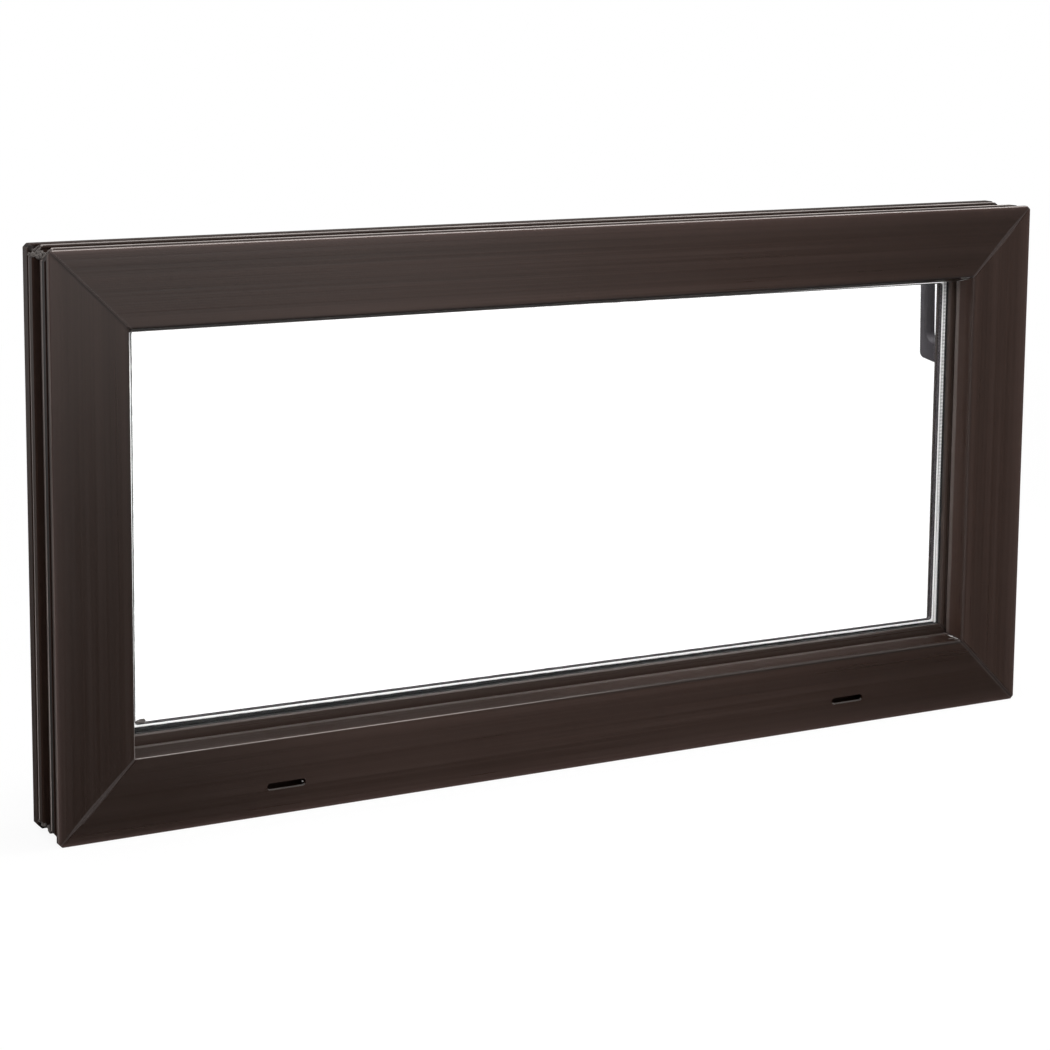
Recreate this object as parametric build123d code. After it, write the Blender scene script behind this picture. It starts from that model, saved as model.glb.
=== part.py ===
"""A bottom-hung basement window: mitred and welded plastic frame and sash, sealed double glazing,
glazing beads, two lever handles and two butt hinges. Seen from outside, +X is right, +Y goes into
the room and +Z is up. The origin is under the middle of the overall box, on the sill."""

import os
from math import sqrt

from build123d import *

# Outer frame
frame_width = 800.0
frame_height = 400.0
frame_depth = 55.0
rebate_floor = 28.0
lip_reach = 58.0
lip_slope = 4.0
lip_nose_depth = 13.0
lip_back = 16.0
lip_radius = 1.0
outer_edge_radius = 1.2
corner_cut = 3.0
groove_corner_cut = 8.0
wall = 2.8
web = 1.6

# Grooves along the outer sides of the frame
front_flange = 4.0
slot_width = 4.0
slot_depth = 5.0
rib_width = 9.0
anchor_groove_width = 17.5
anchor_groove_depth = 8.0
anchor_lip = 1.8
anchor_undercut = 1.5
foot_slot_width = 3.0
foot_slot_depth = 3.0
rear_foot_width = 10.0

# Drain slots in the bottom rail
drain_length = 29.0
drain_height = 5.3
drain_rise = 20.5
drain_setback = 164.0

# Weld-cleaning grooves along the mitres
weld_groove_width = 3.0
weld_groove_depth = 0.4

# Sash
sash_lift = 4.2
sash_gap = 6.5
sash_front = 21.0
sash_body_width = 12.0
sash_wall = 2.5
glazing_lip_reach = 59.8
glazing_lip_thickness = 3.0
glazing_lip_chamfer = 0.8
overlap_reach = 16.0
overlap_thickness = 3.5
overlap_seal_gap = 1.5
sash_edge_radius = 1.5

# Sealed glazing unit
pane_thickness = 4.0
pane_cavity = 4.0
pane_edge_gap = 6.0
sealant_width = 5.0
spacer_width = 6.2
spacer_bend_radius = 3.0
spacer_tilt = 0.2
spacer_shift = 1.25
spacer_drop = 0.45
spacer_film = 0.3

# Glazing gaskets and seals
outer_gasket_thickness = 2.5
gasket_grip = 7.2
gasket_stand_out = 0.2
inner_gasket_thickness = 2.0
inner_gasket_width = 5.5
seal_width = 4.0
frame_seal_inset = 46.0
overlap_seal_inset = 23.5
seal_taper = 0.8

# Glazing beads
bead_reach = 59.0
bead_toe = 1.5
bead_shoulder = 2.0
bead_set_back = 3.0
bead_wall = 1.8

# Handles
handle_inset = 35.0
handle_pivot_drop = 32.0
base_width = 26.0
base_height = 28.0
base_thickness = 9.0
base_corner_cut = 6.0
base_edge_chamfer = 2.0
boss_diameter = 15.0
boss_chamfer = 1.5
grip_width = 10.5
grip_thickness = 7.5
grip_chamfer = 1.2
grip_stand_off = 28.0
grip_length = 97.0
grip_lean = 2.6
grip_heel_radius = 5.0
grip_throat_radius = 10.0
grip_end_height = 14.0
grip_end_drop = 3.0
grip_end_gap = 4.0

# Hinges
hinge_setback = 150.0
hinge_length = 60.0
hinge_barrel = 10.0
hinge_pin = 5.0
hinge_pin_clearance = 0.1
hinge_pin_overhang = 1.5
hinge_leaf = 2.5
hinge_axis_below_sash = 6.0
hinge_barrel_clearance = 0.5
hinge_knuckle_gap = 0.4
frame_leaf_height = 10.0
sash_leaf_height = 22.0

# Depths counted from the front face, and insets counted from the frame's outer edge
overlap_front = frame_depth + overlap_seal_gap
sash_back = overlap_front + overlap_thickness
sash_outer = rebate_floor + sash_gap
glazing_floor = sash_outer + sash_body_width
glazing_lip_back = sash_front + glazing_lip_thickness
overlap_outer = sash_outer - overlap_reach
rear_foot_front = frame_depth - rear_foot_width
foot_back = rear_foot_front - foot_slot_width
outer_pane_front = glazing_lip_back + outer_gasket_thickness
cavity_front = outer_pane_front + pane_thickness
inner_pane_front = cavity_front + pane_cavity
glass_back = inner_pane_front + pane_thickness
bead_front = glass_back + inner_gasket_thickness
bead_back = sash_back - bead_set_back
pane_edge = glazing_floor + pane_edge_gap
spacer_outer = pane_edge + sealant_width
hinge_axis_depth = frame_depth + hinge_barrel_clearance + hinge_barrel / 2
grip_front = sash_back + grip_stand_off - grip_thickness / 2
overall_depth = grip_front + grip_thickness
middle_depth = overall_depth / 2


def at_depth(depth):
    """World Y of a depth counted from the front face."""
    return depth - middle_depth


def profile(*points):
    """A closed outline through points given as depth and inset."""
    return make_face(Polyline(*[(at_depth(depth), inset) for depth, inset in points], close=True))


def band(front, back, low, high):
    """A rectangle from one depth to another and from one inset to another."""
    centre = Pos(at_depth((front + back) / 2), (low + high) / 2)
    return centre * Rectangle(back - front, high - low)


def rounded(section, radius, *corners):
    """The section with the corners nearest to the given depths and insets rounded."""
    picks = [
        section.vertices().sort_by_distance((at_depth(depth), inset, 0))[0]
        for depth, inset in corners
    ]
    return fillet(picks, radius)


def mitred_bar(section, inset, length):
    """A bar along X with 45 degree ends; its outer edge, at the given inset, lies on Z = 0."""
    bar = extrude(Plane.YZ * (Pos(0, -inset) * section), amount=length / 2, both=True)
    half = length / 2
    reach = section.bounding_box().max.Y - inset
    outline = Polyline((-half, 0), (half, 0), (half - reach, reach), (-half + reach, reach), close=True)
    return bar & extrude(Plane.XZ * make_face(outline), amount=overall_depth, both=True)


def corner_cutters(length, size, front, back):
    """Blocks that take both outer corners off a bar, square to its mitres, between two depths."""
    block = Box(2 * lip_reach, back - front, 2 * lip_reach)
    shift = lip_reach - size / sqrt(2)
    middle = at_depth((front + back) / 2)
    right = Pos(length / 2, middle, 0) * Rot(0, 45, 0) * Pos(shift, 0, 0) * block
    left = Pos(-length / 2, middle, 0) * Rot(0, -45, 0) * Pos(-shift, 0, 0) * block
    return right + left


def weld_grooves(length, depth):
    """The shallow grooves that weld cleaning leaves along both mitres of a bar, at one depth."""
    run = 4 * lip_reach
    groove = Box(weld_groove_width, 2 * weld_groove_depth, run)
    right = Pos(length / 2, at_depth(depth), 0) * Rot(0, -45, 0) * groove
    left = Pos(-length / 2, at_depth(depth), 0) * Rot(0, 45, 0) * groove
    return right + left


def four_sides(section, inset, lift=0.0, cutters=()):
    """The four mitred bars of a rectangle whose outer edge is inset from the frame's. Each cutter is
    a function of a bar's length that gives what is taken off that bar."""
    width = frame_width - 2 * inset
    height = frame_height - 2 * inset
    base = inset + lift
    across = mitred_bar(section, inset, width)
    upright = mitred_bar(section, inset, height)
    for cutter in cutters:
        across -= cutter(width)
        upright -= cutter(height)
    middle = base + height / 2
    return {
        "bottom": Pos(0, 0, base) * across,
        "top": Pos(0, 0, base + height) * Rot(0, 180, 0) * across,
        "left": Pos(-width / 2, 0, middle) * Rot(0, 90, 0) * upright,
        "right": Pos(width / 2, 0, middle) * Rot(0, -90, 0) * upright,
    }


def closed_ring(section, inset, lift=0.0):
    """One endless strip with mitred corners, such as a gasket."""
    sides = four_sides(section, inset, lift)
    return sides["bottom"] + sides["top"] + sides["left"] + sides["right"]


def frame_section():
    """The frame's hollow profile, with its outer grooves, rebate and chambers."""
    outline = profile(
        (0, 0),
        (0, lip_reach - lip_slope),
        (lip_nose_depth, lip_reach),
        (lip_back, lip_reach),
        (lip_back, rebate_floor),
        (frame_depth, rebate_floor),
        (frame_depth, 0),
    )
    outline = rounded(outline, lip_radius, (0, lip_reach - lip_slope))
    outline = rounded(outline, outer_edge_radius, (0, 0), (frame_depth, 0), (frame_depth, rebate_floor))
    slot_back = front_flange + slot_width
    groove_front = slot_back + rib_width
    groove_back = groove_front + anchor_groove_width
    grooves = [
        band(front_flange, slot_back, 0, slot_depth),
        band(groove_front, groove_back, 0, anchor_lip),
        band(groove_front - anchor_undercut, groove_back + anchor_undercut, anchor_lip, anchor_groove_depth),
        band(foot_back, rear_foot_front, 0, foot_slot_depth),
    ]
    front_chamber_back = lip_back - wall
    rear_chamber_front = foot_back - web / 2
    chambers = [
        band(wall, front_chamber_back, slot_depth + wall, lip_reach - lip_slope - wall),
        band(front_chamber_back + web, rear_chamber_front - web, anchor_groove_depth + wall, rebate_floor - wall),
        band(rear_chamber_front, frame_depth - wall, foot_slot_depth + wall, rebate_floor - wall),
    ]
    section = outline
    for hollow in grooves + chambers:
        section -= hollow
    return section


def drain_slots():
    """The two round-ended drain slots, cut from the front face into the front chamber."""
    slot = Plane.XZ * SlotOverall(drain_length, drain_height)
    cutter = extrude(slot, amount=wall, both=True)
    away = frame_width / 2 - drain_setback
    places = [Pos(side * away, at_depth(0), drain_rise) for side in (-1, 1)]
    return [place * cutter for place in places]


def sash_section():
    """The sash's hollow profile, with its overlap flange and its glazing lip."""
    outline = profile(
        (sash_front, sash_outer),
        (sash_front, glazing_lip_reach - glazing_lip_chamfer),
        (sash_front + glazing_lip_chamfer, glazing_lip_reach),
        (glazing_lip_back, glazing_lip_reach),
        (glazing_lip_back, glazing_floor),
        (sash_back, glazing_floor),
        (sash_back, overlap_outer),
        (overlap_front, overlap_outer),
        (overlap_front, sash_outer),
    )
    outline = rounded(outline, sash_edge_radius, (sash_back, overlap_outer), (overlap_front, overlap_outer))
    chamber = band(
        sash_front + sash_wall, sash_back - sash_wall, sash_outer + sash_wall, glazing_floor - sash_wall
    )
    return outline - chamber


def bead_section():
    """A glazing bead: a hollow wedge, high at the glass and low at the room side."""
    outline = profile(
        (bead_front, glazing_floor),
        (bead_front, bead_reach),
        (bead_front + bead_shoulder, bead_reach),
        (bead_back, glazing_floor + bead_toe),
        (bead_back, glazing_floor),
    )
    outline = rounded(outline, bead_shoulder / 2, (bead_front + bead_shoulder, bead_reach))
    hollow = profile(
        (bead_front + bead_wall, glazing_floor + bead_wall),
        (bead_front + bead_wall, bead_reach - 2 * bead_wall),
        (bead_back - 2 * bead_wall, glazing_floor + bead_wall),
    )
    return outline - hollow


def outer_gasket_section():
    """The outer glazing gasket, from the glazing lip to the glass, where it stands out a little."""
    return profile(
        (glazing_lip_back, glazing_lip_reach + gasket_stand_out - gasket_grip),
        (glazing_lip_back, glazing_lip_reach),
        (outer_pane_front, glazing_lip_reach + gasket_stand_out),
        (outer_pane_front, glazing_lip_reach + gasket_stand_out - gasket_grip),
    )


def seal_section(front, back, inset):
    """A compression seal that tapers towards the face it presses on."""
    return profile(
        (front, inset),
        (front, inset + seal_width),
        (back, inset + seal_width - seal_taper),
        (back, inset + seal_taper),
    )


def pane(front):
    """One sheet of glass whose front is at the given depth."""
    width = frame_width - 2 * pane_edge
    height = frame_height - 2 * pane_edge
    place = Pos(0, at_depth(front + pane_thickness / 2), frame_height / 2 + sash_lift)
    return place * Box(width, pane_thickness, height)


def cavity_slab(inset, radius=0.0, film=0.0):
    """A slab that fills the glazing cavity inside one inset, less a film at each pane, with its corners
    rounded if asked."""
    width = frame_width - 2 * inset
    height = frame_height - 2 * inset
    outline = RectangleRounded(width, height, radius) if radius else Rectangle(width, height)
    return extrude(Plane.XZ * outline, amount=pane_cavity / 2 - film, both=True)


def edge_seal():
    """The bent spacer bar between the panes, a little crooked and off the middle and clear of both panes
    by a film, and the sealant that holds it from outside."""
    bend = spacer_bend_radius + spacer_width
    place = Pos(0, at_depth(cavity_front + pane_cavity / 2), frame_height / 2 + sash_lift)
    crooked = Pos(spacer_shift, 0, -spacer_drop) * Rot(0, spacer_tilt, 0)
    bar = cavity_slab(spacer_outer, bend, spacer_film)
    bar -= cavity_slab(spacer_outer + spacer_width, spacer_bend_radius)
    sealant = cavity_slab(pane_edge) - crooked * cavity_slab(spacer_outer, bend)
    return place * crooked * bar, place * sealant


def handle_base():
    """The handle's base plate about its pivot, standing on the plane Y = 0."""
    outline = Rectangle(base_width, base_height)
    outline = chamfer(outline.vertices(), base_corner_cut)
    plate = extrude(Plane.XZ * outline, amount=-base_thickness)
    return chamfer(plate.faces().sort_by(Axis.Y)[-1].edges(), base_edge_chamfer)


def handle_lever():
    """The lever about its pivot: a boss on the base and a flat C-shaped grip whose deep end turns back
    towards the sash."""
    boss_run = grip_stand_off + grip_thickness / 2 - base_thickness
    boss = Pos(0, base_thickness, 0) * extrude(Plane.XZ * Circle(boss_diameter / 2), amount=-boss_run)
    boss = chamfer(boss.faces().sort_by(Axis.Y)[-1].edges(), boss_chamfer)

    back = grip_stand_off + grip_thickness / 2
    front = grip_stand_off - grip_thickness / 2
    throat = (front - grip_lean, grip_end_height - grip_length)
    heel = (back - grip_lean, -grip_length)
    end_top = (grip_end_gap, grip_end_height - grip_length - grip_end_drop)
    end_bottom = (grip_end_gap, -grip_length - grip_end_drop)
    outline = make_face(Polyline((front, 0), throat, end_top, end_bottom, heel, (back, 0), close=True))
    corners = outline.vertices()
    outline = fillet(corners.sort_by_distance(throat)[0], grip_throat_radius)
    outline = fillet(outline.vertices().sort_by_distance(heel)[0], grip_heel_radius)
    grip = extrude(Plane.YZ * outline, amount=grip_width / 2, both=True)
    sides = grip.faces().sort_by(Axis.X)
    grip = chamfer(sides[0].edges() + sides[-1].edges(), grip_chamfer)
    return boss + grip


def hinge():
    """A butt hinge about its axis, along X: frame leaf, sash leaf and pin."""
    third = hinge_length / 3
    frame_face = frame_depth - hinge_axis_depth
    sash_face = sash_back - hinge_axis_depth
    radius = hinge_barrel / 2
    bore = Rot(0, 90, 0) * Cylinder(hinge_pin / 2 + hinge_pin_clearance, 2 * hinge_length)
    knuckle = Rot(0, 90, 0) * Cylinder(radius, third - hinge_knuckle_gap)

    def plate(face, low, high, length):
        return Pos(0, face + hinge_leaf / 2, (low + high) / 2) * Box(length, hinge_leaf, high - low)

    frame_leaf = plate(frame_face, -radius - frame_leaf_height, -radius - hinge_knuckle_gap, hinge_length)
    for side in (-1, 1):
        neck = plate(frame_face, -radius - frame_leaf_height, 0, third - hinge_knuckle_gap)
        frame_leaf += Pos(side * third, 0, 0) * (neck + knuckle)
    sash_leaf = plate(sash_face, radius + hinge_knuckle_gap, radius + sash_leaf_height, hinge_length)
    sash_leaf += plate(sash_face, 0, radius + sash_leaf_height, third - hinge_knuckle_gap) + knuckle
    pin = Rot(0, 90, 0) * Cylinder(hinge_pin / 2, hinge_length + 2 * hinge_pin_overhang)
    return frame_leaf - bore, sash_leaf - bore, pin


def build():
    """Every piece of the window, by name."""
    pieces = {}

    frame_cutters = [
        lambda length: corner_cutters(length, corner_cut, 0, frame_depth),
        lambda length: corner_cutters(length, groove_corner_cut, front_flange, rear_foot_front),
        lambda length: weld_grooves(length, 0),
    ]
    frame = four_sides(frame_section(), 0, cutters=frame_cutters)
    for cutter in drain_slots():
        frame["bottom"] -= cutter
    sash_cutters = [lambda length: weld_grooves(length, sash_back)]
    sash = four_sides(sash_section(), overlap_outer, sash_lift, sash_cutters)
    beads = four_sides(bead_section(), glazing_floor, sash_lift)
    for group, sides in (("frame", frame), ("sash", sash), ("bead", beads)):
        for side, bar in sides.items():
            pieces[f"{group}_{side}"] = bar

    pieces["outer_pane"] = pane(outer_pane_front)
    pieces["inner_pane"] = pane(inner_pane_front)
    pieces["spacer_bar"], pieces["edge_sealant"] = edge_seal()

    gasket_foot = glazing_lip_reach + gasket_stand_out - gasket_grip
    pieces["outer_glazing_gasket"] = closed_ring(outer_gasket_section(), gasket_foot, sash_lift)
    inner_gasket = band(glass_back, bead_front, bead_reach - inner_gasket_width, bead_reach)
    pieces["inner_glazing_gasket"] = closed_ring(inner_gasket, bead_reach - inner_gasket_width, sash_lift)
    frame_seal = seal_section(lip_back, sash_front, frame_seal_inset)
    pieces["frame_seal"] = closed_ring(frame_seal, frame_seal_inset)
    overlap_seal = seal_section(overlap_front, frame_depth, overlap_seal_inset)
    pieces["overlap_seal"] = closed_ring(overlap_seal, overlap_seal_inset)

    pivot_height = frame_height - handle_pivot_drop
    hinge_height = overlap_outer + sash_lift - hinge_axis_below_sash
    frame_leaf, sash_leaf, pin = hinge()
    for side, name in ((-1, "left"), (1, "right")):
        pivot = Pos(side * (frame_width / 2 - handle_inset), at_depth(sash_back), pivot_height)
        pieces[f"handle_base_{name}"] = pivot * handle_base()
        pieces[f"handle_lever_{name}"] = pivot * handle_lever()
        axis = Pos(side * (frame_width / 2 - hinge_setback), at_depth(hinge_axis_depth), hinge_height)
        pieces[f"hinge_frame_leaf_{name}"] = axis * frame_leaf
        pieces[f"hinge_sash_leaf_{name}"] = axis * sash_leaf
        pieces[f"hinge_pin_{name}"] = axis * pin
    return pieces


os.makedirs("parts", exist_ok=True)
for node, solid in build().items():
    export_step(solid, f"parts/{node}.step")
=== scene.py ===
"""A bottom-hung basement window of brown plastic profiles, seen from outside and a little from the left."""
import math

import bmesh
import bpy
from mathutils import Matrix, Vector, noise


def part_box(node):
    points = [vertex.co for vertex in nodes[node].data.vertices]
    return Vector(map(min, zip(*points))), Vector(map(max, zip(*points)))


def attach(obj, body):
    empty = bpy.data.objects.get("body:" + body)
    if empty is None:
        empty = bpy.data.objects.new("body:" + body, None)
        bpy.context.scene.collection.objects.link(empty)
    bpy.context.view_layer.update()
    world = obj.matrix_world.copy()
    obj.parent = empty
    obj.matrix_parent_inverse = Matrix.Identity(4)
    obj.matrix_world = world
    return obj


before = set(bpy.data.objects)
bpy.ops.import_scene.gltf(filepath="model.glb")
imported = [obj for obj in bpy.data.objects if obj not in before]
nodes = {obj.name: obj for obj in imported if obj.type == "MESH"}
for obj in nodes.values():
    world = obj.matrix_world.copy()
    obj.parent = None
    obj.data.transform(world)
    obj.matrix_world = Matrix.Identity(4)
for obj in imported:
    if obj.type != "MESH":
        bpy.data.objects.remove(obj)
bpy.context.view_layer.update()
mm = 0.001

# Faces and edges that the finishes and the added pieces are placed by
front_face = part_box("frame_bottom")[0].y
frame_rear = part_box("frame_bottom")[1].y
half_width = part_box("frame_right")[1].x
half_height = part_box("frame_top")[1].z / 2
sash_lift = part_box("sash_bottom")[0].z - (2 * half_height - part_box("sash_top")[1].z)
sash_lift = sash_lift / 2
glass_middle = half_height + sash_lift
sash_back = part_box("sash_bottom")[1].y
cavity_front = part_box("outer_pane")[1].y
cavity_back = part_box("inner_pane")[0].y
pane_gap_front = cavity_front + 0.05 * mm
pane_gap_back = cavity_back - 0.05 * mm
frame_face = 54 * mm
lip_reach = 58 * mm
lip_nose_depth = 13 * mm
groove_corner_cut = 8 * mm
drain_offset = 236 * mm
drain_rise = 20.5 * mm
band_levels = ((0.0, 0.8), (0.08, 0.7), (0.2, 0.2), (0.4, 0.55), (0.6, 0.5), (0.72, 0.3), (0.92, 0.95))
# Depths and half widths of the painted glint lines along the ribs
rib_glints_across = ((14.8 * mm, 2.4 * mm), (36.7 * mm, 2.4 * mm))
rib_glints_upright = ((14.2 * mm, 0.8 * mm), (41.0 * mm, 0.8 * mm))
spacer_tilt = math.radians(0.2)
spacer_sight_inset = 63.7 * mm
spacer_bend_radius = 3 * mm
spacer_middle = Vector((1.25 * mm, 0, glass_middle - 0.45 * mm))

# Colours
dark_brown = (0.0185, 0.0085, 0.0052, 1)
light_brown = (0.0400, 0.0218, 0.0165, 1)
# Painted highlight colour for the outer front edges
edge_highlight_brown = (0.0950, 0.0600, 0.0540, 1)
scraped_brown = (0.1050, 0.0850, 0.0820, 1)
seam_brown = (0.0060, 0.0038, 0.0032, 1)
# Painted shade colour for the slots
groove_shade_brown = (0.0045, 0.0028, 0.0022, 1)
# Painted highlight colour for the glint lines
glint_brown = (0.4700, 0.4200, 0.3950, 1)
# Painted shade colour for the lower left, the right, the inner arris and the lip
shade_brown = (0.0100, 0.0040, 0.0018, 1)
# Painted light: the paler colour for the sash
lit_brown = (0.0850, 0.0680, 0.0600, 1)
white = (1, 1, 1, 1)

# Levels of the studio light
ambient_level = 0.35
glass_gain = 0.32
dim_studio = 0.12
backdrop_glow = 0.1


class Wire:
    """A value in a node tree. Arithmetic on it adds Math nodes."""

    def __init__(self, tree, socket):
        self.tree = tree
        self.socket = socket

    def math(self, operation, *others):
        values = dict(enumerate((self, *others)))
        return self.tree.add("ShaderNodeMath", {"operation": operation}, values)

    def __add__(self, other):
        return self.math("ADD", other)

    def __sub__(self, other):
        return self.math("SUBTRACT", other)

    def __mul__(self, other):
        return self.math("MULTIPLY", other)

    def __truediv__(self, other):
        return self.math("DIVIDE", other)

    def __gt__(self, other):
        return self.math("GREATER_THAN", other)

    def __lt__(self, other):
        return self.math("LESS_THAN", other)

    def __abs__(self):
        return self.math("ABSOLUTE")

    def __rsub__(self, other):
        return self.tree.add("ShaderNodeMath", {"operation": "SUBTRACT"}, {0: other, 1: self})

    def __rtruediv__(self, other):
        return self.tree.add("ShaderNodeMath", {"operation": "DIVIDE"}, {0: other, 1: self})

    __radd__ = __add__
    __rmul__ = __mul__


class Tree:
    """A node tree, with one way to add any node to it."""

    def __init__(self, node_tree):
        self.nodes = node_tree.nodes
        self.links = node_tree.links
        self.nodes.clear()

    def add(self, kind, settings=None, inputs=None, output=0):
        node = self.nodes.new(kind)
        for name, value in (settings or {}).items():
            if name == "stops":
                self.set_stops(node.color_ramp, value)
            else:
                setattr(node, name, value)
        for key, value in (inputs or {}).items():
            self.feed(node.inputs[key], value)
        return Wire(self, node.outputs[output]) if node.outputs else node

    def feed(self, socket, value):
        if isinstance(value, Wire):
            self.links.new(value.socket, socket)
        else:
            socket.default_value = value

    @staticmethod
    def set_stops(ramp, stops):
        ramp.interpolation = "EASE"
        while len(ramp.elements) < len(stops):
            ramp.elements.new(1)
        for element, (position, level) in zip(ramp.elements, stops):
            element.position = position
            element.color = (level, level, level, 1)

    def place(self):
        """The X, Y and Z of a point of the surface."""
        point = self.add("ShaderNodeTexCoord", output="Object")
        return self.split(point)

    def split(self, vector):
        parts = self.add("ShaderNodeSeparateXYZ", {}, {0: vector})
        return [Wire(self, parts.socket.node.outputs[i]) for i in range(3)]

    def vector(self, x, y, z):
        return self.add("ShaderNodeCombineXYZ", {}, {0: x, 1: y, 2: z})

    def noise(self, vector, scale=1.0, detail=3.0, roughness=0.5):
        return self.add(
            "ShaderNodeTexNoise",
            {"noise_dimensions": "3D"},
            {"Vector": vector, "Scale": scale, "Detail": detail, "Roughness": roughness},
            "Fac",
        )

    def fade(self, value, start, end, low=0.0, high=1.0):
        """A soft step from low, where the value is at start, to high, where it is at end."""
        settings = {"interpolation_type": "SMOOTHSTEP"}
        inputs = {"Value": value, "From Min": start, "From Max": end, "To Min": low, "To Max": high}
        return self.add("ShaderNodeMapRange", settings, inputs)

    def ramp(self, value, *stops):
        return self.add("ShaderNodeValToRGB", {"stops": stops}, {0: value})

    def blend(self, first, second, share):
        """A colour between two others."""
        settings = {"data_type": "RGBA", "clamp_factor": True}
        return self.add("ShaderNodeMix", settings, {0: share, 6: first, 7: second}, 2)


class Finish(Tree):
    """A material whose Principled shader takes constants and wires by the names of its sockets."""

    def __init__(self, name):
        self.material = bpy.data.materials.new(name)
        self.material.use_nodes = True
        super().__init__(self.material.node_tree)

    def shade(self, bump=None, bump_height=0.0, **sockets):
        inputs = {name.replace("_", " "): value for name, value in sockets.items()}
        if bump is not None:
            inputs["Normal"] = self.add("ShaderNodeBump", {}, {"Height": bump, "Distance": bump_height})
        return self.add("ShaderNodeBsdfPrincipled", {}, inputs)

    def done(self, shader):
        self.add("ShaderNodeOutputMaterial", {}, {"Surface": shader})
        return self.material


def brown_profile(name, upright, lift=0.0, weld_strength=1.0, painted_light=0.0):
    """Extruded brown plastic: streaks along the bar and a scraped weld at each mitre. Painted light on top
    of that: a painted highlight along the outer front edges, painted shade towards the lower left and the
    right, in the slots and on the inner arris and lip, painted glints along the arrises, nose and ribs, and
    a paler painted-light copy for the sash.
    """
    finish = Finish(name)
    x, y, z = finish.place()
    from_side = half_width - abs(x)
    from_end = half_height - abs(z - (half_height + lift))
    across = from_side if upright else from_end
    along = z if upright else x

    fine = finish.noise(finish.vector(along * 2.5, y * 700, across * 700), 1, 3, 0.6)
    fine_lines = finish.fade(fine, 0.32, 0.68)
    wide = finish.noise(finish.vector(along * 1.2, y * 130, across * 190), 1, 2, 0.5)
    wide_bands = finish.fade(wide, 0.3, 0.7)
    mottle = finish.noise(finish.vector(x, y, z), 16, 3)
    profile_bands = finish.ramp(across / frame_face, *band_levels)
    level = profile_bands * 0.4 + wide_bands * 0.4 + fine_lines * 0.2 + mottle * 0.2 - 0.12
    colour = finish.blend(dark_brown, light_brown, level)
    depth = y - front_face
    on_front = finish.fade(depth, 3 * mm, 1 * mm)
    # Painted shade: the front darkens towards the lower left, and the rails across darken towards the right,
    # where less light falls.
    painted_shade_left = finish.fade(x, -0.15, -0.34) * finish.fade(z, 0.40, 0.2, 0.4, 1) * on_front * 0.58
    painted_shade_right = finish.fade(x, 0.1, 0.36, 0, 0.0 if upright else 0.45)
    colour = finish.blend(colour, shade_brown, painted_shade_left + painted_shade_right)
    # Painted highlight: a lighter, redder band along the outer front edges, on the uprights only on the
    # right one and low on the left one, standing in for light catching the edges.
    painted_edge_highlight = finish.fade(across, 3.5 * mm, 0.0, 0, 0.4) + finish.fade(across, 13 * mm, 0.0, 0, 0.12)
    if upright:
        low_edge_highlight = finish.fade(z, 0.3, 0.1, 0.3, 0.8)
        painted_edge_highlight = painted_edge_highlight * finish.fade(x, -0.1, 0.1).math("MAXIMUM", low_edge_highlight)
    colour = finish.blend(colour, edge_highlight_brown, painted_edge_highlight * on_front)
    # Painted shade: the walls inside the slots of the outer sides, and on the uprights the rib's outer face
    # beside them, are darkened where shade falls, only slightly within the anchor groove.
    painted_groove_shade = finish.fade(across, 0.2 * mm, 1.4 * mm) * finish.fade(depth, 3.5 * mm, 4.5 * mm)
    painted_groove_shade = painted_groove_shade * finish.fade(across, 15 * mm, 10 * mm)
    if upright:
        rib_shade = finish.fade(depth, 8 * mm, 8.6 * mm) * finish.fade(depth, 13.4 * mm, 12.6 * mm)
        painted_groove_shade = painted_groove_shade.math("MAXIMUM", rib_shade * finish.fade(across, 3 * mm, 1.5 * mm))
    anchor_groove = finish.fade(depth, 14 * mm, 15 * mm) * finish.fade(depth, 40 * mm, 39 * mm)
    colour = finish.blend(colour, groove_shade_brown, painted_groove_shade * (0.75 - anchor_groove * 0.65))

    low_left = finish.fade(x, 0.1, -0.15) * finish.fade(z, half_height, 0.1)
    soft_arris = finish.fade(abs(across - frame_face), 1.8 * mm, 0.8 * mm) * on_front * (1 - low_left)
    # Painted shade on the rails across: the inner front arris is darkened except at the lower left, and the
    # lip behind it is darkened, more at the lower left. The arris is also made rougher.
    if not upright:
        colour = finish.blend(colour, shade_brown, soft_arris * 0.7)
        lip = finish.fade(across, 54.4 * mm, 55.2 * mm) * finish.fade(depth, 18 * mm, 17 * mm)
        colour = finish.blend(colour, shade_brown, lip * (0.3 + low_left * 0.4))
    # Painted highlights: pale lines along the inner front arris at the lower left, the lip's nose, the outer
    # front arris and the rib edges, standing in for glints off their rounded edges; on the uprights they
    # grow stronger towards the bottom.
    rub_marks_and_glints = finish.fade(abs(across - frame_face), 0.35 * mm, 0.1 * mm) * on_front * low_left * 0.5
    nose = finish.fade(abs(across - lip_reach), 0.5 * mm, 0.2 * mm) * finish.fade(depth, 11 * mm, 12.5 * mm)
    rub_marks_and_glints = rub_marks_and_glints + nose * finish.fade(depth, 18 * mm, 17 * mm, 0, 0.15)
    rub_marks_and_glints = rub_marks_and_glints + finish.fade(across, 0.8 * mm, 0.2 * mm) * on_front * (0.16 if upright else 0.6)
    for edge, reach in rib_glints_upright if upright else rib_glints_across:
        line = finish.fade(abs(depth - edge), reach, reach * 0.7) * finish.fade(across, 0.9 * mm, 0.5 * mm)
        rub_marks_and_glints = rub_marks_and_glints + line * (finish.fade(z, 0.25, 0.08, 0.45, 0.9) if upright else 1.2)
    colour = finish.blend(colour, glint_brown, rub_marks_and_glints * (0.3 + mottle * 0.9))
    # Painted light: the sash's copy of the plastic is blended paler, standing in for light its recess does
    # not get.
    if painted_light:
        colour = finish.blend(colour, lit_brown, painted_light)

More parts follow.
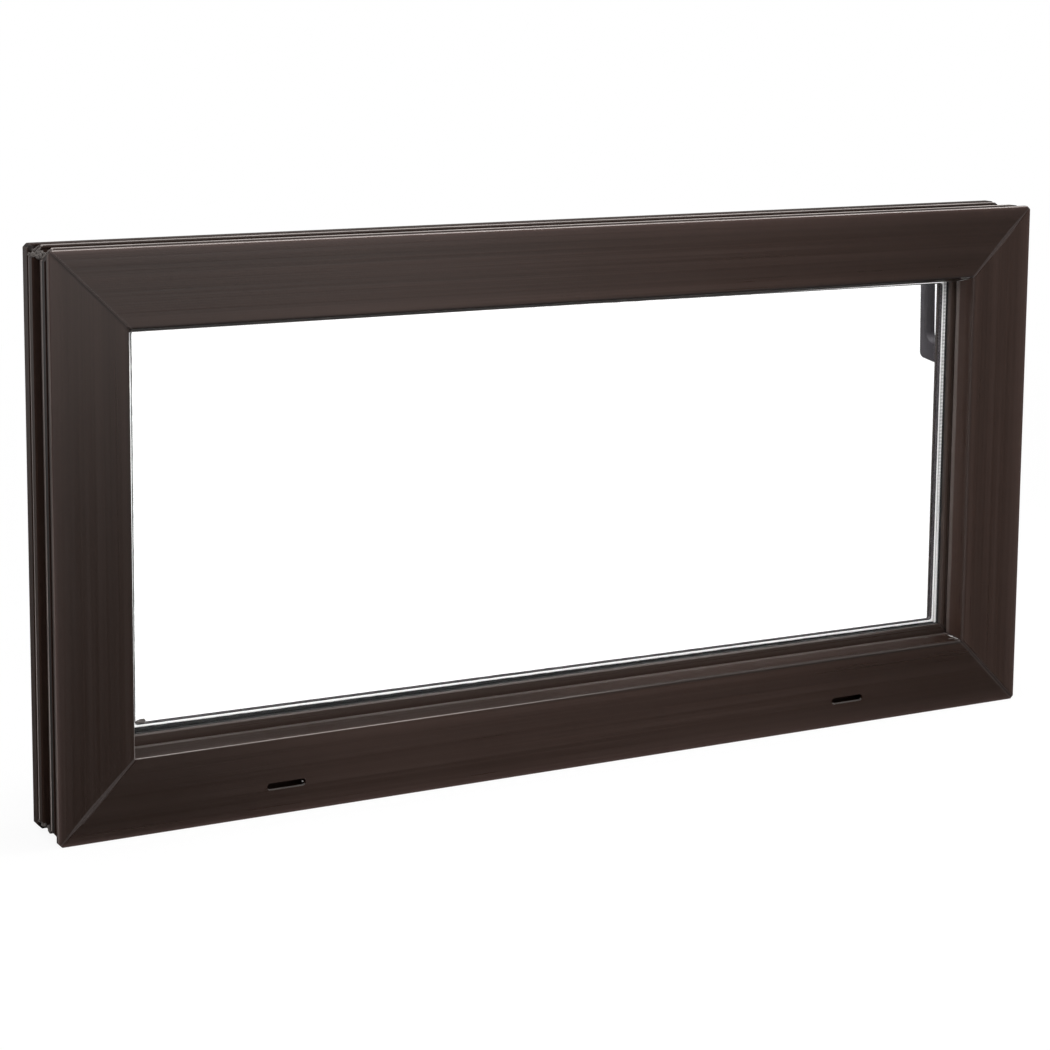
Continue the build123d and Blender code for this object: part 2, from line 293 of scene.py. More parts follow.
    off_mitre = (from_side - from_end) * math.sqrt(0.5)
    mitre = abs(off_mitre)
    rising = (x * (z - half_height)) > 0
    scratches = finish.noise(finish.vector(x * 500, y * 500, z * 500), 1, 2)
    swell = finish.fade(across, 4 * mm, 18 * mm) * finish.fade(across, 62 * mm, 24 * mm)
    scraped_reach = (0.5 + swell * 1.3) * mm
    scraped = finish.fade(mitre - scraped_reach, 0.15 * mm, -0.25 * mm) * (0.25 + scratches * 0.7)
    scraped = scraped * (0.12 + rising * 0.42) * weld_strength
    colour = finish.blend(colour, scraped_brown, scraped)
    ridge = finish.fade(abs(off_mitre - 1.5 * mm), 0.8 * mm, 0.2 * mm, 0, 0.18) * (1 - rising)
    colour = finish.blend(colour, scraped_brown, ridge * weld_strength)
    seam = finish.fade(mitre, 0.4 * mm, 0.15 * mm, 0, 0.8)
    colour = finish.blend(colour, seam_brown, seam * (1 - rising * 0.6) * weld_strength)

    matt_seam = finish.fade(mitre, 1.4 * mm, 0.8 * mm) * (1 - rising)
    roughness = 0.24 + fine_lines * 0.06 + wide_bands * 0.04 + mottle * 0.06 + scraped * 0.4
    roughness = roughness + soft_arris * 0.35 + matt_seam * 0.3
    grain = fine_lines * 0.25 + wide_bands * 0.6 + mottle * 0.15
    shader = finish.shade(grain, 0.08 * mm, Base_Color=colour, Roughness=roughness)
    return finish.done(shader)


def black_rubber():
    """Matt extruded rubber with a bloom of dust."""
    finish = Finish("gasket_rubber")
    x, y, z = finish.place()
    dust = finish.noise(finish.vector(x, y, z), 130, 4, 0.65)
    colour = finish.blend((0.003, 0.003, 0.0031, 1), (0.010, 0.0095, 0.0092, 1), dust)
    shader = finish.shade(dust, 0.08 * mm, Base_Color=colour, Roughness=0.5 + dust * 0.25)
    return finish.done(shader)


def black_sealant():
    """Black edge sealant, pressed on by hand."""
    finish = Finish("edge_sealant_black")
    x, y, z = finish.place()
    smear = finish.noise(finish.vector(x, y, z), 240, 3, 0.6)
    colour = finish.blend((0.006, 0.006, 0.0065, 1), (0.028, 0.025, 0.026, 1), smear)
    shader = finish.shade(smear, 0.15 * mm, Base_Color=colour, Roughness=0.42 + smear * 0.2)
    return finish.done(shader)


def window_glass():
    """Clear float glass that lets the lamps through."""
    finish = Finish("float_glass")
    x, y, z = finish.place()
    film = finish.noise(finish.vector(x, y, z), 7, 2)
    colour = finish.blend((0.994, 0.998, 0.996, 1), (0.999, 1, 1, 1), film)
    glass = finish.shade(Base_Color=colour, Roughness=0.0, IOR=1.5, Transmission_Weight=1.0)
    clear = finish.add("ShaderNodeBsdfTransparent", {}, {0: (0.97, 0.975, 0.973, 1)})
    shadow_ray = finish.add("ShaderNodeLightPath", output="Is Shadow Ray")
    return finish.done(finish.add("ShaderNodeMixShader", {}, {0: shadow_ray, 1: glass, 2: clear}))


def spacer_metal():
    """The spacer bar: bright pressed metal towards the panes, with two beads and a row of dimples, and a
    duller perforated face towards the cavity. Sealant has crept over its foot along the bottom. Its
    brightness towards the panes is partly painted light: brighter bead crowns, darker dimples and a glow by
    emission, strongest along the top."""
    finish = Finish("spacer_aluminium")
    point = finish.add("ShaderNodeTexCoord", output="Object")
    inputs = {"Vector": point, "Location": spacer_middle, "Rotation": (0, spacer_tilt, 0)}
    turned = finish.add("ShaderNodeMapping", {"vector_type": "TEXTURE"}, inputs)
    x, y, rise = finish.split(turned)
    from_side = half_width - abs(x)
    from_end = half_height - abs(rise)
    upright = from_side < from_end
    inset = from_side.math("MINIMUM", from_end)
    from_sight = spacer_sight_inset - inset
    along = x + (rise - x) * upright

    pitch = 2.8 * mm
    bead_pitch = 2.9 * mm
    first_bead = 0.7 * mm
    dimple = (along * (2 * math.pi / pitch)).math("SINE") * 0.5 + 0.5
    dimple = dimple * finish.fade(rise, -0.06, 0.02, 0.1, 1)
    two_beads = ((from_sight - first_bead) * (2 * math.pi / bead_pitch)).math("COSINE") * 0.5 + 0.5
    stain = finish.noise(finish.vector(x, y, rise), 160, 4, 0.6)
    facing = finish.add("ShaderNodeNewGeometry", output="Normal")
    facing_y = abs(finish.split(facing)[1])
    pane_side = facing_y > 0.5

    # Painted highlight and shade: the colour brightens on the two bead crowns and darkens in the dimples, on
    # top of their bumps.
    outer_bead = finish.fade(from_sight, 2.0 * mm, 2.6 * mm)
    pane_level = 0.25 + two_beads * 0.75 - dimple * (0.12 + outer_bead * 0.38) + stain * 0.1
    pane_colour = finish.blend((0.34, 0.335, 0.335, 1), (0.97, 0.96, 0.955, 1), pane_level)
    cavity_level = 0.25 + dimple * 0.35 + stain * 0.3
    cavity_colour = finish.blend((0.042, 0.034, 0.039, 1), (0.12, 0.104, 0.112, 1), cavity_level)
    colour = finish.blend(cavity_colour, pane_colour, pane_side)

    creep = finish.noise(finish.vector(x * 55, 0, rise * 55), 1, 4, 0.7)
    low = rise < -half_height * 0.4
    clear_width = 1.1 * mm + creep * 1.5 * mm
    covered = (from_sight > clear_width) * low * (1 - upright)
    colour = finish.blend(colour, (0.003, 0.003, 0.0032, 1), covered)
    metallic = (1 - covered) * (0.1 + pane_side * 0.15)
    roughness = 0.42 + stain * 0.15 + covered * 0.25
    # Painted light: the pane side glows by emission, four times as strongly along the top bar, so the spacer
    # shows bright where the frame shades it.
    high = (rise > half_height * 0.4) * (1 - upright)
    glint = finish.blend((0, 0, 0, 1), colour, pane_side * (1 - covered) * (0.25 + high * 0.75))
    shader = finish.shade(
        two_beads + dimple * 0.4, 0.12 * mm, Base_Color=colour, Metallic=metallic, Roughness=roughness,
        Emission_Color=glint, Emission_Strength=0.7,
    )
    return finish.done(shader)


def coated_metal(name, dark, light, grain_size):
    """Powder-coated metal with a fine orange-peel grain and slight rub marks."""
    finish = Finish(name)
    x, y, z = finish.place()
    peel = finish.noise(finish.vector(x, y, z), 1 / grain_size, 2, 0.5)
    rub_marks_and_glints = finish.noise(finish.vector(x * 260, y * 260, z * 18), 1, 3, 0.6)
    colour = finish.blend(dark, light, peel * 0.4 + rub_marks_and_glints * 0.6)
    shader = finish.shade(
        peel, 0.07 * mm, Base_Color=colour, Roughness=0.48 + rub_marks_and_glints * 0.16, Specular_IOR_Level=0.45
    )
    return finish.done(shader)


def plated_steel():
    """Zinc-plated steel with a drawn grain and dull patches."""
    finish = Finish("plated_steel")
    x, y, z = finish.place()
    drawn = finish.noise(finish.vector(x * 60, y * 1500, z * 1500), 1, 3)
    dull = finish.noise(finish.vector(x, y, z), 320, 3)
    colour = finish.blend((0.33, 0.33, 0.34, 1), (0.62, 0.62, 0.61, 1), drawn * 0.5 + dull * 0.5)
    shader = finish.shade(drawn, 0.03 * mm, Base_Color=colour, Metallic=1.0, Roughness=0.26 + dull * 0.22)
    return finish.done(shader)


def weld_flash_finish():
    """Melted plastic that the weld pressed out, paler where a knife trimmed it."""
    finish = Finish("weld_flash")
    x, y, z = finish.place()
    trimmed = finish.noise(finish.vector(x, y, z), 420, 3, 0.6)
    colour = finish.blend((0.025, 0.019, 0.017, 1), (0.145, 0.128, 0.118, 1), trimmed)
    shader = finish.shade(trimmed, 0.1 * mm, Base_Color=colour, Roughness=0.6 + trimmed * 0.2)
    return finish.done(shader)


def pale_scrap_finish():
    """Whitish shavings and flecks of trimmed plastic and sealant."""
    finish = Finish("pale_scrap")
    x, y, z = finish.place()
    fleck = finish.noise(finish.vector(x, y, z), 900, 2)
    colour = finish.blend((0.20, 0.185, 0.18, 1), (0.72, 0.70, 0.69, 1), fleck)
    shader = finish.shade(fleck, 0.05 * mm, Base_Color=colour, Roughness=0.55 + fleck * 0.2)
    return finish.done(shader)


def new_piece(name, mesh_data, material):
    """Makes a finished bmesh an object that rides with the window."""
    bmesh.ops.recalc_face_normals(mesh_data, faces=mesh_data.faces[:])
    mesh = bpy.data.meshes.new(name)
    mesh_data.to_mesh(mesh)
    mesh_data.free()
    piece = bpy.data.objects.new(name, mesh)
    piece.data.materials.append(material)
    bpy.context.scene.collection.objects.link(piece)
    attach(piece, "root")
    return piece


def uneven(point, size, seed):
    """A number between about -1 and 1 that wanders from point to point over the given size."""
    spot = Vector((point.x / size + seed, point.y / size, point.z / size))
    return noise.noise(spot) + 0.5 * noise.noise(spot * 2.3)


def sight_line_ring(name, depth, thickness, band, seed, material):
    """A line of black sealant squeezed out along the spacer's inner edge, with an uneven rim."""
    ring = bmesh.new()
    reach = spacer_sight_inset - 0.1 * mm
    wide = half_width - reach
    high = half_height - reach
    corners = [ring.verts.new((sx * wide, 0, sz * high)) for sx, sz in ((-1, -1), (1, -1), (1, 1), (-1, 1))]
    ring.faces.new(corners)
    bmesh.ops.bevel(
        ring, geom=corners, offset=spacer_bend_radius, affect="VERTICES", segments=8, profile=0.5,
        material=-1,
    )
    long_edges = [edge for edge in ring.edges if edge.calc_length() > 50 * mm]
    bmesh.ops.subdivide_edges(ring, edges=long_edges, cuts=220)
    outer = set(ring.verts)
    bmesh.ops.inset_region(
        ring, faces=ring.faces[:], use_boundary=True, use_even_offset=True, thickness=band
    )
    rim = [vert for vert in ring.verts if vert not in outer]
    middle = [face for face in ring.faces if len(face.verts) > 4]
    bmesh.ops.delete(ring, geom=middle, context="FACES_ONLY")
    for vert in rim:
        inward = Vector((-vert.co.x, 0, -vert.co.z)).normalized()
        ragged = uneven(vert.co, 6 * mm, seed)
        vert.co += inward * ragged * 0.18 * mm
    sheet = bmesh.ops.extrude_face_region(ring, geom=ring.faces[:], use_keep_orig=True)
    raised = [part for part in sheet["geom"] if isinstance(part, bmesh.types.BMVert)]
    bmesh.ops.translate(ring, verts=raised, vec=(0, thickness, 0))
    turn = Matrix.Rotation(spacer_tilt, 4, "Y")
    place = Matrix.Translation(spacer_middle + Vector((0, depth, 0)))
    bmesh.ops.transform(ring, matrix=place @ turn, verts=ring.verts[:])
    return new_piece(name, ring, material)


def cross_screw(target, place, radius, rise, recess):
    """Adds a round screw head with a cross recess, facing along the local Z of the place."""
    before = set(target.verts)
    bmesh.ops.create_grid(target, x_segments=3, y_segments=3, size=radius * 0.55)
    made = [vert for vert in target.verts if vert not in before]
    faces = {face for vert in made for face in vert.link_faces}
    arm = radius * 0.19
    cross = [f for f in faces if abs(f.calc_center_median().x) < arm or abs(f.calc_center_median().y) < arm]
    border = [edge for face in faces for edge in face.edges if len(edge.link_faces) == 1]
    rings = [border]
    for share, drop in ((0.82, 0.12), (1.0, 1.0)):
        circle = bmesh.ops.create_circle(target, segments=24, radius=radius * share)["verts"]
        bmesh.ops.translate(target, verts=circle, vec=(0, 0, -rise * drop))
        rings.append(list({edge for vert in circle for edge in vert.link_edges}))
    for inner, outer in zip(rings, rings[1:]):
        bmesh.ops.bridge_loops(target, edges=list(set(inner)) + outer)
    sunk = bmesh.ops.extrude_face_region(target, geom=cross)
    floor = [part for part in sunk["geom"] if isinstance(part, bmesh.types.BMVert)]
    bmesh.ops.translate(target, verts=floor, vec=(0, 0, -recess))
    foot = [e for e in rings[-1] if e.is_valid]
    bmesh.ops.holes_fill(target, edges=foot, sides=24)
    head = [vert for vert in target.verts if vert not in before]
    bmesh.ops.transform(target, matrix=place, verts=head)


def facing_room(x, y, z, turn=0.0):
    """A place whose local Z points into the room."""
    upright = Matrix.Rotation(math.radians(-90), 4, "X")
    return Matrix.Translation((x, y, z)) @ upright @ Matrix.Rotation(turn, 4, "Z")


def hinge_screws(side, material):
    """Screws through both leaves of a hinge."""
    heads = bmesh.new()
    frame_low, frame_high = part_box(f"hinge_frame_leaf_{side}")
    sash_low, sash_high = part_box(f"hinge_sash_leaf_{side}")
    middle = (frame_low.x + frame_high.x) / 2
    leaf = 2.5 * mm
    frame_row = frame_low.z + 5.2 * mm
    sash_row = sash_high.z - 8.5 * mm
    for step, angle in ((-1, 0.3), (1, 1.1)):
        place = facing_room(middle + step * 20 * mm, frame_rear + leaf + 0.7 * mm, frame_row, angle)
        cross_screw(heads, place, 3.4 * mm, 0.9 * mm, 0.5 * mm)
    for step, angle in ((-1, 0.8), (0, 0.1), (1, 1.4)):
        place = facing_room(middle + step * 21 * mm, sash_back + leaf + 0.7 * mm, sash_row, angle)
        cross_screw(heads, place, 3.6 * mm, 0.9 * mm, 0.5 * mm)
    return new_piece(f"hinge_screws_{side}", heads, material)


def handle_screws(side, material):
    """The two screws above and below a handle's boss."""
    heads = bmesh.new()
    low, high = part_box(f"handle_base_{side}")
    middle = (low + high) / 2
    for step, angle in ((-1, 0.4), (1, 1.2)):
        place = facing_room(middle.x, high.y + 0.4 * mm, middle.z + step * 9.8 * mm, angle)
        cross_screw(heads, place, 2.1 * mm, 0.6 * mm, 0.35 * mm)
    return new_piece(f"handle_screws_{side}", heads, material)


def join(target, part):
    """Adds one bmesh to another and frees it."""
    carrier = bpy.data.meshes.new("carrier")
    part.to_mesh(carrier)
    part.free()
    target.from_mesh(carrier)
    bpy.data.meshes.remove(carrier)


def flash_bead(target, start, end, radius, seed, flatten=1.0):
    """Adds an uneven rod of melted plastic from one point to another."""
    start, end = Vector(start), Vector(end)
    run = end - start
    half_run = run.length / 2
    rod = bmesh.new()
    bmesh.ops.create_cone(rod, cap_ends=True, segments=8, radius1=radius, radius2=radius, depth=run.length)
    sides = [edge for edge in rod.edges if abs(edge.verts[0].co.z - edge.verts[1].co.z) > half_run]
    bmesh.ops.subdivide_edges(rod, edges=sides, cuts=9)
    for vert in rod.verts:
        taper = 1 - 0.75 * (abs(vert.co.z) / half_run) ** 4
        swell = (1 + 0.55 * uneven(vert.co, 2.2 * mm, seed)) * taper
        vert.co.x *= swell
        vert.co.y *= swell * flatten
    turn = run.to_track_quat("Z", "Y").to_matrix().to_4x4()
    bmesh.ops.transform(rod, matrix=Matrix.Translation((start + end) / 2) @ turn, verts=rod.verts[:])
    join(target, rod)


def flash_lump(target, place, radius, seed):
    """Adds an uneven lump of melted plastic, longer into the window than across."""
    lump = bmesh.new()
    bmesh.ops.create_icosphere(lump, subdivisions=3, radius=radius)
    for vert in lump.verts:
        vert.co *= 1 + 0.45 * uneven(vert.co, radius, seed)
    bmesh.ops.scale(lump, vec=(0.9, 1.7, 0.9), verts=lump.verts[:])
    bmesh.ops.translate(lump, vec=place, verts=lump.verts[:])
    join(target, lump)


def corner_weld_flash(material):
    """Flash left on the trimmed outer corners of the frame, across its ribs and grooves."""
    edge_depths = (8.6, 16.4, 35.2, 41.4)
    outer_corners = (
        ("top_left", -1, 1, 3.1),
        ("top_right", 1, 1, 7.7),
        ("bottom_left", -1, -1, 12.4),
        ("bottom_right", 1, -1, 20.9),
    )
    for name, sx, sz, seed in outer_corners:
        flash = bmesh.new()
        centre = half_height + sz * half_height
        for index, depth in enumerate(edge_depths):
            y = front_face + depth * mm
            start = (sx * (half_width - groove_corner_cut + 0.9 * mm), y, centre - sz * 0.9 * mm)
            end = (sx * (half_width - 0.9 * mm), y, centre - sz * (groove_corner_cut - 0.9 * mm))
            flash_bead(flash, start, end, 0.8 * mm, seed + index)
        inner = groove_corner_cut / 2 + 0.2 * mm
        for index, (near, far) in enumerate(((3.6, 9.0), (15.5, 36.5), (40.5, 47.0))):
            start = (sx * (half_width - inner), front_face + near * mm, centre - sz * inner)
            end = (sx * (half_width - inner), front_face + far * mm, centre - sz * inner)
            flash_bead(flash, start, end, 1.1 * mm, seed + 10 + index)
        lump_inset = groove_corner_cut / 2 + 1.2 * mm
        lump_place = (sx * (half_width - lump_inset), front_face + 30 * mm, centre - sz * lump_inset)
        flash_lump(flash, lump_place, 2.6 * mm, seed)
        for index, (inset, depth, radius) in enumerate(((2.2, 24, 2.3), (1.8, 37, 1.9), (1.4, 43.5, 1.4))):
            side = sx * (half_width - inset * mm)
            height = centre - sz * (groove_corner_cut - inset * mm)
            flash_lump(flash, (side, front_face + depth * mm, height), radius * mm, seed + 4 + index)
        for vert in flash.verts:
            vert.co.x = max(min(vert.co.x, half_width - 0.05 * mm), -half_width + 0.05 * mm)
            vert.co.z = max(min(vert.co.z, 2 * half_height - 0.05 * mm), 0.05 * mm)
        new_piece(f"weld_flash_{name}", flash, material)


def trimmed_scraps(material, smear_material):
    """Pale shavings and duller smears at the inner mitres, the right arris and the left drain slot."""
    scraps = bmesh.new()
    smears = bmesh.new()
    arris = (half_width - frame_face, 2 * half_height - frame_face)
    nose = (half_width - lip_reach, 2 * half_height - lip_reach)
    y_nose = front_face + lip_nose_depth
    slope = (lip_reach - frame_face) / lip_nose_depth

    def on_sill(left, depth):
        """A point just above the bottom rail's sloped lip, counted from its right front corner."""
        return (arris[0] - left * mm, front_face + depth * mm, frame_face + (slope * depth + 0.12) * mm)

    flash_bead(scraps, on_sill(6.4, 10.5), on_sill(3.2, 6.6), 0.42 * mm, 1.7)
    flash_bead(scraps, on_sill(3.4, 6.8), on_sill(0.6, 3.0), 0.22 * mm, 6.4)
    flash_bead(smears, on_sill(9.6, 5.8), on_sill(4.4, 4.8), 0.6 * mm, 5.3, 0.6)
    flash_bead(smears, on_sill(5.2, 3.6), on_sill(0.6, 1.2), 0.55 * mm, 9.1, 0.6)
    high_nose = (nose[0] + 0.1 * mm, y_nose, nose[1] + 0.1 * mm)
    flash_bead(
        scraps, high_nose, (arris[0] - 1.2 * mm, front_face + 4 * mm, arris[1] - 1.1 * mm), 0.3 * mm, 14.6
    )
    flash_bead(
        scraps, (arris[0] - 13 * mm, front_face + 0.7 * mm, arris[1] - 0.1 * mm),
        (arris[0] - 3 * mm, front_face + 0.7 * mm, arris[1] - 0.1 * mm), 0.2 * mm, 22.3,
    )
    fleck_height = arris[1] - 18 * mm
    flash_bead(
        scraps, (arris[0] + 0.5 * mm, front_face + 0.35 * mm, fleck_height),
        (arris[0] + 0.7 * mm, front_face + 0.35 * mm, fleck_height - 2.2 * mm), 0.3 * mm, 18.2, 0.6,
    )
    caught = (-drain_offset + 12.4 * mm, front_face + 1.4 * mm, drain_rise + 0.4 * mm)
    flash_lump(scraps, caught, 0.55 * mm, 31.0)
    for vert in scraps.verts[:] + smears.verts[:]:
        vert.co.y = max(vert.co.y, front_face + 0.05 * mm)
    new_piece("trimmed_scraps", scraps, material)
    new_piece("smeared_scraps", smears, smear_material)


def sealant_blob(material):
    """A small lump of sealant in the glazing unit's lower left corner."""
    blob = bmesh.new()
    bmesh.ops.create_icosphere(blob, subdivisions=3, radius=2.4 * mm)
    for vert in blob.verts:
        vert.co *= 1 + 0.3 * noise.noise(vert.co / (1.4 * mm))
    bmesh.ops.scale(blob, vec=(1.5, 0.5, 0.75), verts=blob.verts[:])
    reach = spacer_sight_inset + 1.4 * mm
    side = -half_width + reach + 4.4 * mm
    height = glass_middle - half_height + reach + 1.0 * mm
    bmesh.ops.translate(blob, vec=(side, cavity_front + 1.25 * mm, height), verts=blob.verts[:])
    for vert in blob.verts:
        vert.co.y = max(vert.co.y, cavity_front + 0.02 * mm)
    new_piece("sealant_blob", blob, material)


def spacer_perforations(material):
    """The row of small breather slits along the spacer's cavity face."""
    slits = bmesh.new()
    middle = (cavity_front + cavity_back) / 2
    turn = Matrix.Translation(spacer_middle + Vector((0, middle, 0))) @ Matrix.Rotation(spacer_tilt, 4, "Y")
    wide = half_width - spacer_sight_inset
    high = half_height - spacer_sight_inset
    pitch = 5.6 * mm
    size = Matrix.Diagonal((1.6 * mm, 0.7 * mm, 0.08 * mm, 1))
    for half_run, reach, quarter in ((wide, high, 0), (high, wide, 1)):
        along = Matrix.Rotation(quarter * math.pi / 2, 4, "Y")
        straight = half_run - spacer_bend_radius - 2 * mm
        count = int(2 * straight / pitch)
        for step in range(count + 1):
            offset = -straight + step * 2 * straight / count
            for side in (-1, 1):
                place = along @ Matrix.Translation((offset, 0, side * reach))
                bmesh.ops.create_cube(slits, size=1, matrix=turn @ place @ size)
    new_piece("spacer_perforations", slits, material)


def drain_burrs(material):
    """The pale burr along the lower half of each drain slot."""
    rims = bmesh.new()
    length, height, rim = 29 * mm, 5.3 * mm, 0.8 * mm
    for side in (-1, 1):
        slot = bmesh.new()
        quarters = ((-1, -1), (1, -1), (1, 1), (-1, 1))
        ends = [slot.verts.new((sx * length / 2, 0, sz * height / 2)) for sx, sz in quarters]
        slot.faces.new(ends)
        bmesh.ops.bevel(
            slot, geom=ends, offset=height * 0.499, affect="VERTICES", segments=8, profile=0.5, material=-1
        )
        inset = bmesh.ops.inset_region(
            slot, faces=slot.faces[:], use_boundary=True, use_even_offset=True, thickness=rim
        )
        opening = [face for face in slot.faces if face not in inset["faces"]]
        bmesh.ops.delete(slot, geom=opening, context="FACES_ONLY")
        upper = [face for face in slot.faces if face.calc_center_median().z > -height * 0.2]
        bmesh.ops.delete(slot, geom=upper, context="FACES")
        wall = bmesh.ops.extrude_face_region(slot, geom=slot.faces[:], use_keep_orig=True)
        pushed = [part for part in wall["geom"] if isinstance(part, bmesh.types.BMVert)]
        bmesh.ops.translate(slot, verts=pushed, vec=(0, 1.0 * mm, 0))
        place = (side * drain_offset, front_face + 0.5 * mm, drain_rise)
        bmesh.ops.translate(slot, verts=slot.verts[:], vec=place)
        join(rims, slot)
    new_piece("drain_burrs", rims, material)


def groove_swarf(material):
    """A thin curl of swarf caught in the left anchor groove."""
    curl = bmesh.new()
    radius, length = 0.28 * mm, 26 * mm
    bmesh.ops.create_cone(curl, cap_ends=True, segments=6, radius1=radius, radius2=radius, depth=length)
    sides = [e for e in curl.edges if abs(e.verts[0].co.z - e.verts[1].co.z) > 10 * mm]
    bmesh.ops.subdivide_edges(curl, edges=sides, cuts=30)
    for vert in curl.verts:
        swing = vert.co.z / length
        vert.co.y += 2.2 * mm * math.sin(9 * swing) * (1 - abs(swing))
        vert.co.x += 0.7 * mm * math.cos(13 * swing)
    place = (-half_width + 7.0 * mm, front_face + 30.5 * mm, half_height + 62 * mm)
    bmesh.ops.translate(curl, vec=place, verts=curl.verts[:])
    new_piece("groove_swarf", curl, material)


def set_finishes():
    """Gives every carried-over solid its finish."""
    sash = {"lift": sash_lift, "weld_strength": 0.8}
    finishes = {
        "brown_across": brown_profile("brown_profile_across", upright=False),
        "brown_upright": brown_profile("brown_profile_upright", upright=True),
        # The sash copies are blended paler: painted light.
        "sash_across": brown_profile("brown_sash_across", upright=False, painted_light=0.2, **sash),
        "sash_upright": brown_profile("brown_sash_upright", upright=True, painted_light=0.3, **sash),
        "rubber": black_rubber(),
        "sealant": black_sealant(),
        "glass": window_glass(),
        "spacer": spacer_metal(),
        "handle": coated_metal("handle_grey", (0.046, 0.040, 0.050, 1), (0.086, 0.075, 0.091, 1), 0.7 * mm),
        "hinge": coated_metal("hinge_brown", (0.018, 0.012, 0.0105, 1), (0.034, 0.024, 0.021, 1), 0.6 * mm),
        "steel": plated_steel(),
        "flash": weld_flash_finish(),
        "scrap": pale_scrap_finish(),
    }
    wanted = {}
    for side in ("bottom", "top", "left", "right"):
        run = "upright" if side in ("left", "right") else "across"
        wanted[f"frame_{side}"] = f"brown_{run}"
        wanted[f"sash_{side}"] = f"sash_{run}"
        wanted[f"bead_{side}"] = f"sash_{run}"
    for pane in ("outer_pane", "inner_pane"):
        wanted[pane] = "glass"
    for seal in ("outer_glazing_gasket", "inner_glazing_gasket", "frame_seal", "overlap_seal"):
        wanted[seal] = "rubber"
    wanted["spacer_bar"] = "spacer"
    wanted["edge_sealant"] = "sealant"
    for side in ("left", "right"):
        wanted[f"handle_base_{side}"] = "handle"
        wanted[f"handle_lever_{side}"] = "handle"
        wanted[f"hinge_frame_leaf_{side}"] = "hinge"
        wanted[f"hinge_sash_leaf_{side}"] = "hinge"
        wanted[f"hinge_pin_{side}"] = "steel"
    for node, key in wanted.items():
        for holder in nodes[node].material_slots:
            holder.material = finishes[key]
    return finishes


def seen_level(tree, mirrored_level):
    """Which rays see the surround as it is lit for them, and how bright. It is white to the camera, a
    little more through the glass to make up for its losses, and a dim studio to a glossy surface."""
    path = tree.add("ShaderNodeLightPath", output="Is Camera Ray")
    outputs = path.socket.node.outputs
    through = Wire(tree, outputs["Is Transmission Ray"])
    mirrored = Wire(tree, outputs["Glossy Depth"]) > 0.5
    direct = path.math("MAXIMUM", through) * (1 - mirrored)
    level = direct + direct * through * glass_gain + mirrored * mirrored_level
    return direct.math("MAXIMUM", mirrored), level


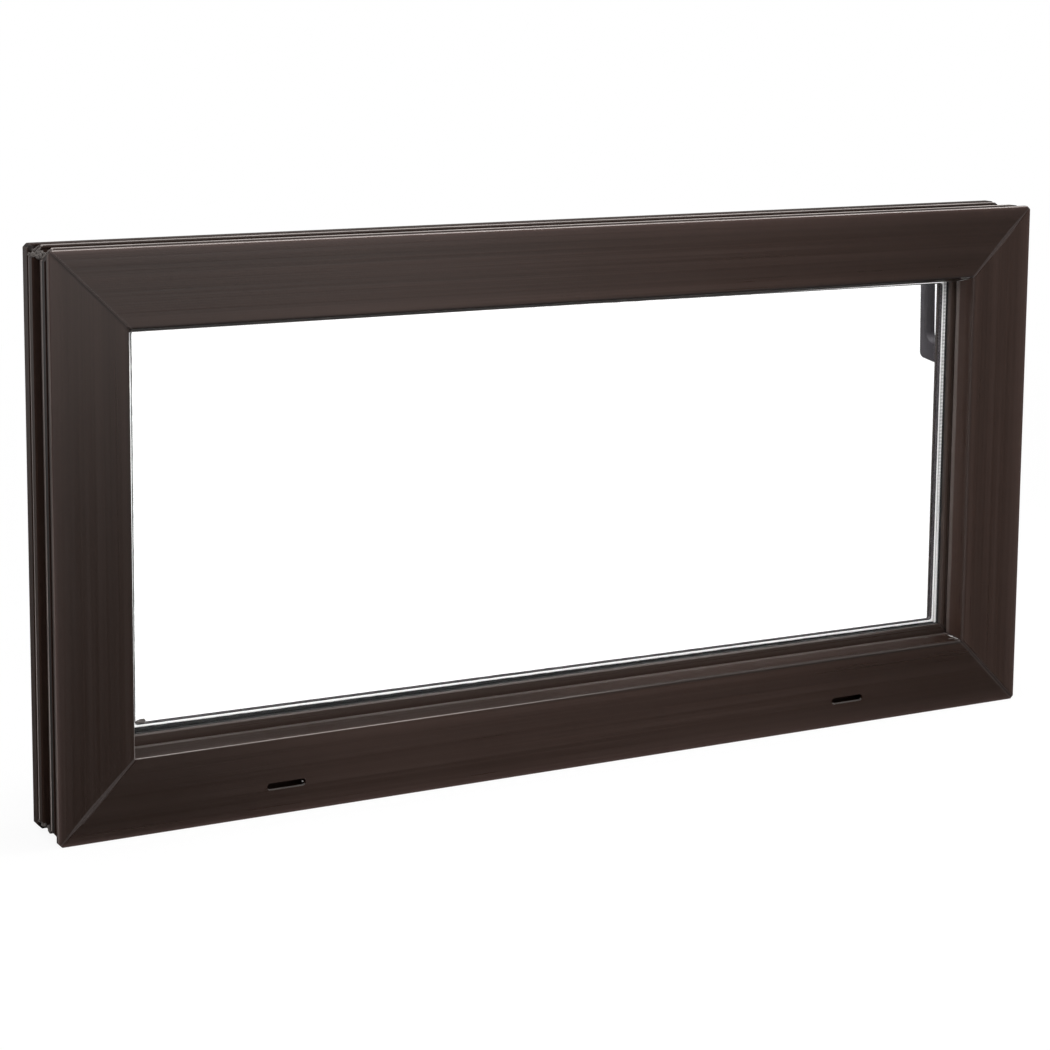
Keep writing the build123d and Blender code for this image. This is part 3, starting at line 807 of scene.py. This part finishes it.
def studio():
    """A pale floor, a white surround and soft lamps."""
    finish = Finish("studio_floor")
    x, y, z = finish.place()
    grain = finish.noise(finish.vector(x, y, z), 3, 2)
    pale = finish.blend((0.78, 0.78, 0.78, 1), (0.82, 0.82, 0.82, 1), grain)
    floor_shader = finish.shade(Base_Color=pale, Roughness=0.9, Specular_IOR_Level=0.0)
    distance = (x * x + y * y).math("SQRT")
    seen, level = seen_level(finish, finish.fade(abs(y), 0.1, 2.6, 0.02, 0.26))
    glow = finish.add("ShaderNodeEmission", {}, {"Color": white, "Strength": level})
    share = seen * finish.fade(distance, 0.6, 2.2, 0.92, 1.0)
    material = finish.done(finish.add("ShaderNodeMixShader", {}, {0: share, 1: floor_shader, 2: glow}))
    plane = bmesh.new()
    bmesh.ops.create_grid(plane, x_segments=1, y_segments=1, size=12)
    mesh = bpy.data.meshes.new("studio_floor")
    plane.to_mesh(mesh)
    plane.free()
    floor = bpy.data.objects.new("studio_floor", mesh)
    floor.location.z = -0.2 * mm
    mesh.materials.append(material)
    bpy.context.scene.collection.objects.link(floor)

    world = bpy.data.worlds.new("studio_surround")
    world.use_nodes = True
    bpy.context.scene.world = world
    tree = Tree(world.node_tree)
    _, to_back, upward = tree.split(tree.add("ShaderNodeTexCoord", output="Generated"))
    backdrop = tree.fade(to_back, 0.45, 0.8) * tree.fade(upward, 0.45, 0.2)
    seen, level = seen_level(tree, dim_studio + backdrop * backdrop_glow)
    strength = level + (1 - seen) * ambient_level
    surround = tree.add("ShaderNodeBackground", {}, {"Color": white, "Strength": strength})
    tree.add("ShaderNodeOutputWorld", {}, {"Surface": surround})

    lamps = (
        ("overhead_strip", (0.7, -0.2, 2.0), (0.1, -0.2, 0.2), 0.6, 2.8, 44),
        ("front_card", (0.2, -1.5, 0.42), (-0.1, 0, 0.3), 1.0, 0.6, 2.0),
        ("left_strip", (-2.3, -0.2, 0.4), (0, 0, 0.2), 0.5, 0.9, 6),
        ("camera_fill", (-0.6, -1.8, 1.5), (0, 0, 0.3), 1.0, 1.0, 24),
        ("room_side_softbox", (-1.9, 2.0, 1.2), (0, 0, 0.2), 1.6, 1.2, 7),
        ("room_fill", (-0.2, 2.3, 1.3), (0, 0, 0.2), 1.0, 0.8, 14),
    )
    for name, place, target, wide, high, power in lamps:
        data = bpy.data.lights.new(name, "AREA")
        data.shape = "RECTANGLE"
        data.size = wide
        data.size_y = high
        data.energy = power
        lamp = bpy.data.objects.new(name, data)
        lamp.location = place
        lamp.rotation_euler = (Vector(target) - Vector(place)).to_track_quat("-Z", "Y").to_euler()
        lamp.visible_glossy = name not in ("left_strip", "room_fill")
        bpy.context.scene.collection.objects.link(lamp)


def camera():
    """The view from outside, left of the window and a little above it."""
    data = bpy.data.cameras.new("camera")
    data.sensor_width = 36
    data.lens = 88.77
    data.shift_y = -0.18
    data.clip_end = 60
    eye = bpy.data.objects.new("camera", data)
    eye.location = Vector((0, front_face, half_height)) + Vector((-0.9113, -1.6048, 0.3839))
    yaw = Matrix.Rotation(math.radians(-28.189), 3, "Z")
    pitch = Matrix.Rotation(math.radians(90 - 8.133), 3, "X")
    roll = Matrix.Rotation(math.radians(0.458), 3, "Z")
    eye.rotation_euler = (yaw @ pitch @ roll).to_euler()
    bpy.context.scene.collection.objects.link(eye)
    bpy.context.scene.camera = eye


def build():
    finishes = set_finishes()
    thickness, band = 0.35 * mm, 0.6 * mm
    sight_line_ring("butyl_line_outer", pane_gap_front, thickness, band, 2.3, finishes["sealant"])
    sight_line_ring("butyl_line_inner", pane_gap_back - thickness, thickness, band, 8.9, finishes["sealant"])
    spacer_perforations(finishes["sealant"])
    sealant_blob(finishes["flash"])
    for side in ("left", "right"):
        hinge_screws(side, finishes["steel"])
        handle_screws(side, finishes["steel"])
    corner_weld_flash(finishes["flash"])
    trimmed_scraps(finishes["scrap"], finishes["flash"])
    groove_swarf(finishes["scrap"])
    drain_burrs(finishes["flash"])
    studio()
    camera()


build()
bpy.context.scene.view_settings.view_transform = "Standard"
